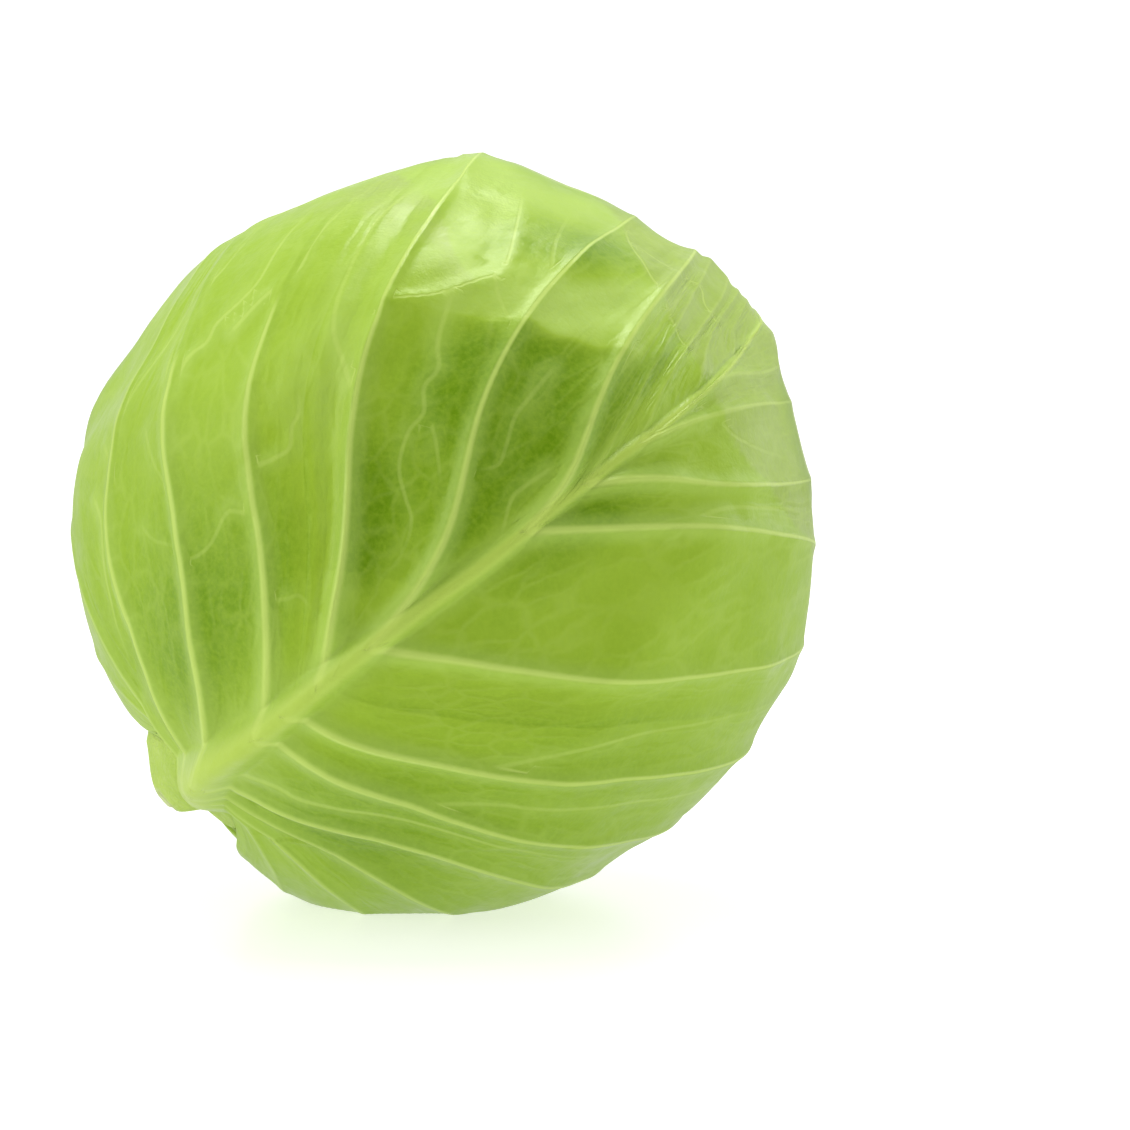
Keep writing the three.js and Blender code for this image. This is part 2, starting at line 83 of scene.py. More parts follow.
RIGHT_LINES = [
    (4, -80.5, 9, -80.8, 14, -82, 0, 0, 0),
    (11, -80, 20, -86, 29, -101, 0, 0, 0),
    (20, -78, 36, -87, 56, -104, 0.7, 0.4, 0.2),
    (26, -69, 54, -70, 88, -84, 0.9, 0.8, 0.2),
    (24, -60, 56, -54, 105, -52, 1.0, 1.0, 0.2),
    (23, -51, 51, -39, 108, -22, 1.1, 1.1, 0.2),
    (20, -42, 47, -28, 103, 4, 1.2, 1.2, 0.3),
    (17, -33, 42, -14, 92.5, 26, 1.3, 1.4, 0.2),
    (15, -24, 37, -4, 83.5, 34.5, 0, 0.2, 0.2),
    (14, -13, 35, 5, 73, 42, 1.3, 1.3, 0.2),
    (10.2, 14.7, 29, 32.5, 54, 52, 1.2, 1.1, 0.2),
    (10.3, 25.6, 21, 35.5, 38, 56, 1.2, 1.1, 0.2),
    (7, 37, 14, 49, 25, 65, 0.9, 0.8, 0.2),
    (8, 51, 14, 60, 20, 73, 0.7, 0.5, 0.2),
    (9, 65, 12, 72, 17, 80, 0.4, 0.3, 0.1),
    (10, 77, 10.5, 82.5, 11, 88, 0, 0.3, 0),
]
VEIN, RAISE, PANEL, TURN = 8, 9, 10, 11  # columns of a placed line, after its four points
LAST_LINE = len(STARTS) - 1
MIDRIB = np.array([  # y, x, height, half width
    (-81, 1, 6.0, 11.5), (-75, 3, 7.2, 9.0), (-66, 5, 6.6, 6.4), (-50, 5.6, 4.8, 4.5),
    (-30, 5.8, 3.4, 3.3), (-8, 3.2, 2.4, 2.5), (14, 0.6, 1.7, 1.9), (44, -5.3, 1.0, 1.4),
    (72, -10.2, 0.5, 1.0), (88, -11, 0.0, 0.8),
])
RIPPLE = {"arc": 0.011, "count": 9}
# name, bearing, width, length, mirrored, side veins stand out
LEAVES = [
    ("wrapper_leaf_1", -5, 1, 1, False, True),
    ("wrapper_leaf_2", 138, 0.82, 1.1, True, True),
    ("wrapper_leaf_3", -128, 0.84, 0.94, False, True),
    ("wrapper_leaf_4", 66, 0.8, 1.08, False, False),
    ("wrapper_leaf_5", -60, 0.82, 1.04, True, False),
]
SHOULDER = {"flat": 9, "fall": 16}
EDGE_LIFT = {"from": 0.9, "height": 1.6}


# ---------------------------------------------------------------- small helpers
def smooth(t):
    u = np.clip(t, 0, 1)
    return u * u * (3 - 2 * u)


def through(rows, t):
    """Smooth curve through rows of numbers that are one unit apart (Catmull-Rom)."""
    t = np.asarray(t, float)
    i = np.clip(np.floor(t).astype(int), 0, len(rows) - 2)
    f = (t - i)[..., None]
    a, b, d, e = (rows[np.clip(i + k, 0, len(rows) - 1)] for k in (-1, 0, 1, 2))
    return b + 0.5 * f * (d - a + f * (2 * a - 5 * b + 4 * d - e + f * (3 * (b - d) + e - a)))


def midrib_at(y):
    """x, height and half width of the midrib at y."""
    y = np.asarray(y, float)
    i = np.clip(np.searchsorted(MIDRIB[:, 0], y, side="left") - 1, 0, len(MIDRIB) - 2)
    f = np.clip((y - MIDRIB[i, 0]) / (MIDRIB[i + 1, 0] - MIDRIB[i, 0]), 0, 1)
    row = through(MIDRIB, i + f)
    return row[..., 1], np.maximum(row[..., 2], 0), row[..., 3]


def angle_between(d, unit):
    return np.degrees(np.arccos(np.clip(d @ unit, -1, 1)))


# ---------------------------------------------------------------- the head's own frame
_dip, _turn = math.radians(STEM_DIP), math.radians(STEM_TURN)
STEM = np.array([
    -math.cos(_dip) * math.cos(_turn), -math.cos(_dip) * math.sin(_turn), -math.sin(_dip)])
FRONT = np.array([0.0, -1.0, 0.0]) + STEM * STEM[1]
FRONT /= np.linalg.norm(FRONT)
SIDE = np.cross(STEM, FRONT)
MIDDLE = np.array([0.0, 0.0, REST_HEIGHT])


def head_direction(angle, bearing):
    a, b = math.radians(angle), math.radians(bearing)
    return STEM * math.cos(a) + FRONT * math.sin(a) * math.cos(b) + SIDE * math.sin(a) * math.sin(b)


SWELLS = [(head_direction(a, b), h, w) for a, b, h, w in SWELLINGS]


def heart_radius(d):
    """Radius on which the innermost wrapper leaf lies."""
    from_stem = angle_between(d, STEM)
    r = HEART_RADIUS - STEM_DIMPLE["depth"] * np.exp(-((from_stem / STEM_DIMPLE["width"]) ** 2))
    r = r - CROWN_FLAT["depth"] * np.exp(-(((180 - from_stem) / CROWN_FLAT["width"]) ** 2))
    for at, height, width in SWELLS:
        r = r + height * np.exp(-((angle_between(d, at) / width) ** 2))
    return r


# ---------------------------------------------------------------- a leaf's chart and outline
class Leaf:
    def __init__(self, order, name, bearing, wide, long, mirror, veined):
        self.order, self.name, self.veined = order, name, veined
        self.middle = head_direction(90, bearing)
        self.across = head_direction(90, bearing + 90)
        self.along = -STEM
        self.side = -1 if mirror else 1
        self.wide, self.long = wide, long
        self.lines = [self.placed(LEFT_LINES, 1), self.placed(RIGHT_LINES, -1)]
        self.make_outline()

    @staticmethod
    def placed(table, sign):
        """Each line as the four points that it passes, then its relief and the turn of its end."""
        rows = []
        for start, (x1, y1, x2, y2, x3, y3, *relief) in zip(STARTS, table):
            turn = math.atan2(sign * x3, y3) * sign
            root = float(midrib_at(start)[0])
            rows.append([root, start, sign * x1, y1, sign * x2, y2, sign * x3, y3, *relief, turn])
        return np.array(rows, float)

    def chart(self, half, a, b):
        """Point of the chart on line a, counted from the stalk, at share b of its length."""
        a, b = np.broadcast_arrays(np.asarray(a, float), np.asarray(b, float))
        p = through(self.lines[half], a)
        x0 = midrib_at(p[..., 1])[0]
        turn = p[..., TURN]
        waves = np.sin(RIPPLE["count"] * turn + half * 2)
        waves = waves + 0.6 * np.sin(RIPPLE["count"] * 2.3 * turn)
        t = b * (1 + RIPPLE["arc"] * waves * b * b * smooth(LAST_LINE - a))
        u, v, w = 3 * t - 1, 3 * t - 2, 3 * t - 3
        share = (-u * v * w / 6, 3 * t * v * w / 2, -3 * t * u * w / 2, 3 * t * u * v / 6)
        x = share[0] * x0 + sum(share[k] * p[..., 2 * k] for k in (1, 2, 3))
        y = sum(share[k] * p[..., 2 * k + 1] for k in range(4))
        return x, y

    def scaled(self, x, y):
        grown = smooth((y + 95) / 50)
        return x * (1 + (self.wide - 1) * grown), np.where(y > 0, y * self.long, y)

    def direction(self, x, y):
        sx, sy = self.scaled(np.asarray(x, float), np.asarray(y, float))
        far = np.hypot(sx, sy)
        arc = np.radians(far)
        k = np.where(far > 1e-9, np.sin(arc) / np.maximum(far, 1e-9), math.pi / 180)
        return (np.cos(arc)[..., None] * self.middle
                + (k * sx * self.side)[..., None] * self.across
                + (k * sy)[..., None] * self.along)

    def at(self, half, a, b):
        return self.direction(*self.chart(half, a, b))

    def make_outline(self):
        """The edge as directions, and as distance from the middle against the angle round it."""
        steps = np.arange(LAST_LINE * 8 + 1) / 8
        edge, polar = [], []
        for half in (0, 1):
            x, y = self.chart(half, steps, 1.0)
            edge.append(self.direction(x, y))
            sx, sy = self.scaled(x, y)
            polar.append(np.stack([np.degrees(np.arctan2(sx, sy)), np.hypot(sx, sy)], axis=-1))
        self.edge = np.concatenate(edge)
        polar = np.concatenate(polar)
        polar = polar[np.argsort(polar[:, 0], kind="stable")]
        first, last = polar[0], polar[-1]
        self.outline = np.vstack([[last[0] - 360, last[1]], polar, [first[0] + 360, first[1]]])

    def beyond_edge(self, d):
        """Degrees of arc from directions to this leaf's edge, negative inside the leaf."""
        flat = d.reshape(-1, 3)
        arc = angle_between(flat, self.middle)
        angle = np.degrees(np.arctan2(flat @ self.across * self.side, flat @ self.along))
        inside = arc < np.interp(angle, self.outline[:, 0], self.outline[:, 1])
        nearest = np.concatenate([(part @ self.edge.T).max(axis=1)
                                  for part in np.array_split(flat, 1 + len(flat) // 20000)])
        away = np.degrees(np.arccos(np.clip(nearest, -1, 1)))
        return np.where(inside, -away, away).reshape(d.shape[:-1])


leaves = [Leaf(order, *facts) for order, facts in enumerate(LEAVES)]
LAYER = LEAF_THICKNESS + LEAF_GAP


def lay_radius(order, d):
    """Radius of the inside of a leaf, with every leaf under it counted."""
    r = heart_radius(d)
    for under in leaves[order + 1:]:
        away = under.beyond_edge(d) - SHOULDER["flat"]
        r = r + LAYER * smooth(1 - away / SHOULDER["fall"])
    return r


def pressed_in(d):
    """How far everything is pressed in where the head lies on the surface."""
    down = -d[..., 2]
    low = down > 0.9
    press = np.zeros(down.shape)
    if low.any():
        press[low] = lay_radius(0, d[low]) + LEAF_THICKNESS - REST_HEIGHT / down[low]
    return np.maximum(press, 0)


def openness(order, d):
    """1 where a leaf lies open to the air, 0 where a leaf outside it covers it."""
    open_ = np.ones(d.shape[:-1])
    for over in leaves[:order]:
        open_ = open_ * smooth((over.beyond_edge(d) - 9) / 9)
    return open_


# ---------------------------------------------------------------- veins
# Forks of the side veins: half of the leaf, strength, then points of line and share of its length.
FORKS = [
    (0, 0.9, (5.03, 0.585), (4.90, 0.647), (4.93, 0.68), (5.05, 0.72), (5.10, 0.767), (5.2, 0.807),
     (5.3, 0.93)),
    (0, 1.0, (5.03, 0.59), (5.15, 0.64), (5.33, 0.663), (5.40, 0.693), (5.60, 0.733), (5.70, 0.77),
     (5.7, 0.837), (5.75, 0.93)),
    (0, 1.0, (5.6, 0.68), (5.78, 0.727), (5.93, 0.753), (6.10, 0.78), (6.08, 0.817), (6.12, 0.853),
     (6.25, 0.93)),
    (0, 0.75, (7.93, 0.54), (7.68, 0.60), (7.30, 0.66), (7.10, 0.717), (7.05, 0.76), (7.02, 0.80),
     (7.03, 0.853), (7.23, 0.887), (7.6, 0.92)),
    (0, 0.8, (6.03, 0.457), (6.20, 0.455), (6.43, 0.457), (6.73, 0.467), (6.78, 0.507), (6.90, 0.533),
     (6.8, 0.60)),
    (0, 0.7, (4.02, 0.70), (4.12, 0.74), (4.33, 0.753), (4.70, 0.755), (4.9, 0.80)),
    (0, 0.6, (3.78, 0.73), (4.0, 0.667), (4.16, 0.60)),
    (0, 0.8, (3.73, 0.643), (3.88, 0.577), (3.85, 0.523), (3.80, 0.467), (3.7, 0.387), (3.4, 0.25)),
    (0, 0.6, (5.99, 0.367), (5.78, 0.393), (5.62, 0.403), (5.38, 0.38), (5.15, 0.377), (5.02, 0.387)),
    (0, 0.5, (4.67, 0.59), (4.80, 0.523), (4.99, 0.47)),
    (0, 0.4, (4.50, 0.473), (4.67, 0.433), (4.96, 0.403)),
    (0, 0.45, (6.03, 0.21), (6.43, 0.19), (6.83, 0.18), (7.2, 0.14)),
    (0, 0.7, (8.45, 0.73), (8.50, 0.653), (8.58, 0.603), (8.53, 0.563), (8.58, 0.51), (8.50, 0.463),
     (8.47, 0.38), (8.55, 0.317), (8.65, 0.263), (8.65, 0.2), (8.55, 0.13)),
    (0, 0.5, (8.59, 0.507), (8.68, 0.473), (8.75, 0.423), (8.83, 0.347)),
    (0, 0.6, (9.42, 0.60), (9.35, 0.543), (9.28, 0.49), (9.28, 0.413), (9.25, 0.367), (9.04, 0.377)),
    (0, 0.6, (9.72, 0.26), (9.58, 0.257), (9.47, 0.243), (9.50, 0.177), (9.58, 0.10)),
    (0, 0.6, (9.02, 0.74), (8.93, 0.783), (8.78, 0.843), (8.68, 0.93)),
    (0, 0.5, (8.62, 0.78), (8.65, 0.757), (8.75, 0.727), (8.97, 0.68)),
    (0, 0.5, (10.05, 0.5), (10.4, 0.62), (10.5, 0.75), (10.6, 0.9)),
    (1, 1.0, (5.33, 0.03), (5.40, 0.10), (5.38, 0.137), (5.45, 0.21), (5.6, 0.36), (5.7, 0.6), (5.7, 0.85)),
    (1, 0.9, (4.70, 0.04), (4.2, 0.08), (4.05, 0.13)),
    (1, 0.6, (12.6, 0.15), (11.9, 0.47), (11.6, 0.62), (11.3, 0.9)),
    (1, 0.7, (9.95, 0.42), (10.35, 0.55), (10.5, 0.72), (10.55, 0.9)),
    (1, 0.7, (7.0, 0.40), (7.4, 0.52), (7.75, 0.66), (8.0, 0.9)),
    (1, 0.7, (6.05, 0.35), (6.45, 0.5), (6.55, 0.7), (6.6, 0.92)),
]
SIDE_VEIN = {"base": 1.0, "end": 0.32}  # half width in mm
VEIN_ENDS = {(0, 5): 0.62, (0, 6): 0.70}  # these give way to their forks
FORK = {"base": 0.75, "end": 0.4, "height": 0.4, "rank": 0.5}
FOLD = {"half": 0.34, "height": 0.15, "rank": 0.55}
# Thin folds of the outermost leaf's skin, as points of the chart.
FOLDS = [
    [(44, 11), (42.1, 14.5), (39.1, 18.5), (37.1, 22.4), (34.7, 27.8), (33.5, 30.1), (35.1, 34.9),
     (38.7, 42.9), (44.3, 55.7)],
    [(24, 66), (21, 60.1), (14.5, 53.5), (9.3, 50.6), (4.5, 47.3), (0.6, 46)],
    [(19.9, 62.5), (13.5, 61.7), (5.5, 66.2), (2.4, 62.6), (-3.5, 59.5)],
]


class Veins:
    """Curves on a leaf: points in mm about the middle, and half width, ridge height and strength."""

    def __init__(self, leaf):
        self.leaf, self.curves = leaf, []

    def add(self, half, a, b, base, end, height, rank, fading=False):
        points = self.leaf.at(half, np.asarray(a), np.asarray(b)) * HEART_RADIUS
        t = np.linspace(0, 1, len(points))
        fades = rank * (smooth((1 - t) / 0.25) * smooth(t / 0.06 + 0.3) if fading else 1 + 0 * t)
        self.curves.append((points, base + (end - base) * t, height * (1 - 0.8 * t), fades))

    def nearest(self, d, within=9):
        """For unit vectors: side (signed mm), gap to the vein's flank, half width, height, strength."""
        p = d * HEART_RADIUS
        gap = np.full(len(p), 99.0)
        side, width, height, rank, stout = (np.zeros(len(p)) for _ in range(5))
        for points, widths, heights, fades in self.curves:
            centre = (points.min(axis=0) + points.max(axis=0)) / 2
            reach = np.linalg.norm(points - centre, axis=1).max() + within
            near = np.flatnonzero(((p - centre) ** 2).sum(axis=1) < reach * reach)
            if not len(near):
                continue
            q, start, step = p[near], points[:-1], np.diff(points, axis=0)
            along = np.einsum("nsk,sk->ns", q[:, None] - start, step) / (step**2).sum(axis=1)
            along = np.clip(along, 0, 1)
            off = q[:, None] - start - along[..., None] * step
            far = np.sqrt((off**2).sum(axis=2))
            s = far.argmin(axis=1)
            pick = np.arange(len(q))
            far, f, off = far[pick, s], along[pick, s], off[pick, s]
            w = widths[s] + (widths[s + 1] - widths[s]) * f
            held = (gap[near] < 1.4) & (stout[near] > fades.max())
            closer = (far - w < gap[near]) & ~held
            into = near[closer]
            sign = np.sign(np.einsum("nk,nk->n", np.cross(step[s], q), off))[closer]
            gap[into] = (far - w)[closer]
            side[into] = sign * far[closer]
            width[into] = w[closer]
            height[into] = (heights[s] + (heights[s + 1] - heights[s]) * f)[closer]
            rank[into] = (fades[s] + (fades[s + 1] - fades[s]) * f)[closer]
            stout[into] = fades.max()
        return side, gap, width, height, rank


def veins_of(leaf):
    veins = Veins(leaf)
    rng = np.random.default_rng(40 + leaf.order)
    rise = 1.0 if leaf.veined else 0.45
    for half, table in enumerate((LEFT_LINES, RIGHT_LINES)):
        for i in range(2, LAST_LINE):
            if table[i][6] == 0:
                continue
            wander = rng.normal(0, 0.012, 5)
            b = np.linspace(0.01, 0.995, 60)
            a = i + np.interp(b, np.linspace(0, 1, 5), wander) * smooth(b / 0.3)
            stout = min(1.0, table[i][6] / 1.1)
            veins.add(half, a, b, SIDE_VEIN["base"] * stout, SIDE_VEIN["end"],
                      table[i][6] * rise, min(1.0, (table[i][6] / 1.15) ** 2))
            if (half, i) in VEIN_ENDS:
                *rest, fades = veins.curves[-1]
                left = 1 - smooth((b - VEIN_ENDS[half, i]) / 0.05)
                veins.curves[-1] = (rest[0], rest[1], rest[2] * left, fades * left)
    for half, strength, *points in FORKS:
        a, b = np.array(points).T
        fine = np.linspace(0, len(a) - 1, 8 * len(a))
        path = through(np.stack([a, b], axis=1), fine)
        veins.add(half, path[:, 0], path[:, 1], FORK["base"] * (0.5 + 0.5 * strength), FORK["end"],
                  FORK["height"] * rise * strength, FORK["rank"] * strength, fading=True)
    if leaf.order == 0:
        for points in FOLDS:
            x, y = np.array(points, float).T
            fine = np.linspace(0, len(x) - 1, 6 * len(x))
            path = through(np.stack([x, y], axis=1), fine)
            on = leaf.direction(path[:, 0], path[:, 1]) * HEART_RADIUS
            t = np.linspace(0, 1, len(on))
            fades = FOLD["rank"] * smooth(np.minimum(t, 1 - t) / 0.15)
            veins.curves.append((on, FOLD["half"] + 0 * t, FOLD["height"] + 0 * t, fades))
    return veins


# ---------------------------------------------------------------- a leaf's relief
# Creases where the outermost leaf bends over what it lies on: height, reach on either side in mm,
# then points of the chart.
CREASES = [
    (1.5, 11, 2.2, *FOLDS[0]),
    (0.9, 8, 6, (42.5, 14), (39, 16), (35.5, 18), (29.5, 21), (25.5, 25.5), (20, 28.5), (13.5, 32.5),
     (6.5, 38)),
    (0.5, 8, 12, (6.5, 38), (3, 41), (0.5, 45), (-8, 55)),
    (0.45, 3, 3, (37.5, 27.5), (41, 33), (43.3, 37.6), (45.2, 41), (48, 47)),
    (0.35, 3.0, 9, *FOLDS[1]),
    (0.3, 3.0, 6, *FOLDS[2]),
    (0.6, 9, 9, (-3.5, 45), (-12, 41), (-20, 39.5), (-29, 41)),
    (0.8, 8, 10, (64, -26), (56, -31), (50, -30), (45.5, -23.5), (40.5, -23)),
    (1.1, 14, 1.6, (51.3, 45), (53.4, 48.8), (57.9, 55.8), (63.1, 65), (68, 74)),
]
# Painted shade, with some deeper green of the leaf's own: patches below the shoulder crease, where the leaf
# turns from the light. Columns: half, line, share of its length, reach of both, strength; below zero,
# paler.
PAINTED_SHADE_TONES = [
    (0, 8.5, 0.45, 0.60, 0.25, 0.45), (0, 8.2, 0.22, 0.40, 0.20, 0.80), (0, 8.8, 0.56, 0.28, 0.10, 0.65),
    (0, 8.3, 0.50, 0.22, 0.10, -0.20), (0, 9.4, 0.40, 0.65, 0.26, 1.1), (0, 9.15, 0.27, 0.25, 0.08, 0.35),
    (0, 9.1, 0.57, 0.30, 0.06, 0.35), (0, 10.4, 0.45, 0.65, 0.17, 0.50), (0, 10.3, 0.20, 0.50, 0.14, 0.40),
    (1, 10.1, 0.15, 0.60, 0.14, 0.95), (1, 5.2, 0.14, 0.5, 0.10, 0.35), (1, 11.2, 0.15, 0.60, 0.12, 0.30),
    (0, 8.8, 0.63, 0.32, 0.09, 0.60), (0, 9.3, 0.60, 0.40, 0.09, 0.45),
]
# Painted light and shade, with some of the leaf's own tone: deeper and paler patches not cut at the shade
# line, in the same columns; the palest paints the lit band under the highlight.
LIGHT_AND_SHADE_TONES = [
    (0, 5.4, 0.28, 0.90, 0.19, 0.80), (0, 6.5, 0.24, 0.55, 0.17, 0.45), (0, 4.6, 0.22, 0.60, 0.16, 0.50),
    (0, 7.5, 0.42, 0.55, 0.40, -0.28), (0, 6.7, 0.64, 0.90, 0.16, -0.20), (1, 6.0, 0.35, 1.00, 0.30, 0.45),
    (0, 9.45, 0.75, 0.80, 0.08, -0.90), (0, 8.6, 0.95, 1.20, 0.09, -0.35),
    (0, 9.0, 0.85, 0.55, 0.055, 1.0), (0, 11.1, 0.40, 0.60, 0.20, 0.55), (1, 4.6, 0.22, 1.10, 0.20, 0.40),
    (1, 7.5, 0.60, 1.50, 0.30, 0.25), (0, 3.5, 0.30, 0.80, 0.25, 0.25), (1, 4.5, 0.30, 0.80, 0.25, 0.35),
]
FOLD_LINE = [(34, 76), (26.5, 69), (21, 60.1), (14.5, 53.5), (9.3, 50.6), (4.5, 47.3), (0.6, 46), (-12, 41),
             (-20, 39.5), (-31, 41), (-42, 44)]  # beyond it the leaf is painted greyer, as painted sheen for the pale reflection there
SHADE_LINE = [(60, 0), (42.5, 14), (39, 16), (35.5, 18), (29.5, 21), (25.5, 25.5), (20, 28.5), (13.5, 32.5),
              (6.5, 38), (0.5, 45), (-8, 55)]  # the painted shade patches end at it
UNDULATION = [(30.0, 0.9), (13.0, 0.35), (6.0, 0.14)]  # size of a wave and its height, in mm
EDGE_THICKNESS = 0.5
EDGE_TUCK = 0.75  # how far the edge dips between its waves, in mm
SHADE_SIDE = 1  # which side of its line gets the painted shade
FOLD_SIDE = -1  # which side of its line gets the painted sheen
STALK_SPREAD = 1.3  # the midrib's soft flanks against its half width in the solid


def noise_at(p, size, seed):
    from mathutils import noise
    q = p / size + seed * 17.3
    return np.array([noise.noise(v) for v in q.tolist()])


def crease_height(leaf, d):
    """Sharp-crested ridges along the creases."""
    total = np.zeros(len(d))
    for height, above, below, *points in CREASES:
        x, y = np.array(points, float).T
        fine = np.linspace(0, len(x) - 1, 4 * len(x))
        path = through(np.stack([x, y], axis=1), fine)
        curve = Veins(leaf)
        on = leaf.direction(path[:, 0], path[:, 1]) * HEART_RADIUS
        ends = np.minimum(fine, fine[-1] - fine)
        curve.curves.append((on, np.zeros(len(on)), height * smooth(ends / 0.8 + 0.15), np.ones(len(on))))
        side, gap, _, high, _ = curve.nearest(d, within=60)
        reach = np.where(side > 0, above, below)
        total = np.maximum(total, high * np.exp(-gap / reach))
    return total


def bell(t):
    return np.exp(-(t**2))


def side_of(leaf, points, d, within):
    """Signed distance in mm from a curve on the chart, positive on its left."""
    x, y = np.array(points, float).T
    fine = np.linspace(0, len(x) - 1, 4 * len(x))
    path = through(np.stack([x, y], axis=1), fine)
    curve = Veins(leaf)
    on = leaf.direction(path[:, 0], path[:, 1]) * HEART_RADIUS
    curve.curves.append((on, np.zeros(len(on)), np.ones(len(on)), np.ones(len(on))))
    side, gap, *_ = curve.nearest(d, within=within)
    return np.where(gap < within, side, 0)


def green_depth_and_shade(leaf, half, a, b, d):
    """Deeper green of the leaf with painted shade and painted light: 0 for plain leaf green, 1 for the
    deepest, below 0 where it is paler.
    """
    def patches(rows):
        return sum((much * bell((a - at) / reach) * bell((b - share) / length)
                    for part, at, share, reach, length, much in rows if part == half), 0 * a)
    flat = d.reshape(-1, 3)
    if leaf.order == 0:
        line = side_of(leaf, SHADE_LINE, flat, 60).reshape(a.shape)
        ragged = 2.2 * noise_at(flat * HEART_RADIUS, 7.0, 3).reshape(a.shape)
        below = smooth((line * SHADE_SIDE + ragged) / 2.4 + 0.5)
    else:
        below = 1.0
    # Painted shade: each panel is darker beside the vein that it hangs from, where the raised vein turns it
    # from the light.
    f = a - np.floor(a)
    vein_shade = (0.16 * (1 - f) ** 2 + 0.2 * bell(f / 0.16)) * smooth(b / 0.15) * (1 - 0.6 * b)
    # The painted shade patches stop at the shade line and grow stronger beside each vein.
    return patches(PAINTED_SHADE_TONES) * below * (0.8 + 0.45 * (1 - f) ** 1.5) + patches(LIGHT_AND_SHADE_TONES) + vein_shade


def leaf_relief(leaf, half, a, b, d, veins):
    """Heights over the leaf's lay, in mm, and what the material needs to know about each point."""
    lines = through(leaf.lines[half], a)
    raised, panel = lines[..., RAISE], lines[..., PANEL]
    between = np.sin(np.pi * (a - np.floor(a)))
    fade = smooth(b / 0.12) * (1 - 0.65 * smooth((b - 0.8) / 0.2))
    sheet = np.maximum(0, raised + (panel - raised) * between) * fade
    edge = smooth((b - EDGE_LIFT["from"]) / (1 - EDGE_LIFT["from"]))
    wave = 0.5 + 0.5 * np.cos((LAST_LINE - a) * (1.9 if half else 1.6) + leaf.order * 1.7)
    sheet = sheet + EDGE_LIFT["height"] * edge * wave - EDGE_TUCK * edge * (1 - wave)
    x, y = leaf.chart(half, a, b)
    rib_x, rib_height, rib_half = midrib_at(y)
    from_rib = np.abs(x - rib_x) * math.pi / 180 * HEART_RADIUS
    end = np.clip((y + 82) / 1.6, 0, 1)
    t = np.clip(from_rib / (rib_half * STALK_SPREAD), 0, 1)
    midrib = rib_height * (1 - t * t) ** 2 * np.sqrt(1 - (1 - end) ** 2)
    side, gap, width, height, rank = veins.nearest(d.reshape(-1, 3))
    ridge = height * bell(np.maximum(gap + width, 0) / (1.7 * width + 0.7))
    ridge = ridge.reshape(a.shape) * smooth(b / 0.06)
    ribs = np.maximum(midrib, ridge)
    p = (d * HEART_RADIUS).reshape(-1, 3)
    swell = sum(high * noise_at(p, size, leaf.order + k) for k, (size, high) in
                enumerate(UNDULATION)).reshape(a.shape)
    sheet = sheet + swell * smooth(b / 0.1) * np.where(d[..., 2] > -0.75, 1, 0.3)
    if leaf.order == 0:
        sheet = sheet + crease_height(leaf, d.reshape(-1, 3)).reshape(a.shape) * smooth(b / 0.08)
    facts = {"side": side, "gap": gap, "width": np.maximum(width, 0.05), "rank": rank}
    facts = {key: value.reshape(a.shape) for key, value in facts.items()}
    facts["rib"] = from_rib / rib_half
    facts["stalk"] = smooth((-y - 30) / 50) * np.exp(-from_rib / (11 if half else 17))
    # deep: deeper green of the leaf together with painted shade and painted light
    facts["deep"] = green_depth_and_shade(leaf, half, a, b, d)
    facts["line"] = a
    steps = np.linalg.norm(np.gradient(d, axis=0), axis=-1) * HEART_RADIUS
    facts["apart"] = np.minimum(steps / np.maximum(np.gradient(a, axis=0), 1e-3), 40)
    # painted sheen: a greyer green beyond the fold line, standing in for the pale reflection of light there
    facts["dull"] = np.zeros(a.shape)
    if leaf.order == 0:
        past = side_of(leaf, FOLD_LINE, d.reshape(-1, 3), 45).reshape(a.shape)
        ragged = 1.6 * noise_at(d.reshape(-1, 3) * HEART_RADIUS, 9.0, 5).reshape(a.shape)
        facts["dull"] = smooth((past * FOLD_SIDE + ragged) / 2 + 0.5) * smooth((y - 15) / 20)
    return sheet, ribs, facts


# ---------------------------------------------------------------- a leaf's mesh
FINE = {"column": 1.3, "rows": 146, "inner_rows": 14}  # the outermost leaf
COARSE = {"column": 1.7, "rows": 105, "inner_rows": 12}


def columns_of(leaf, step):
    """Line numbers of the mesh's columns, closer together beside each line."""
    columns = [np.array([0.0])]
    for i in range(LAST_LINE):
        spans = [np.linalg.norm(leaf.at(half, i + 0.0, b) - leaf.at(half, i + 1.0, b)) * HEART_RADIUS
                 for half in (0, 1) for b in (0.35, 0.6, 0.85)]
        count = max(3, int(round(max(spans) / step)))
        s = np.arange(1, count + 1) / count
        columns.append(i + s - 0.5 * np.sin(2 * np.pi * s) / (2 * np.pi))
    return np.concatenate(columns)


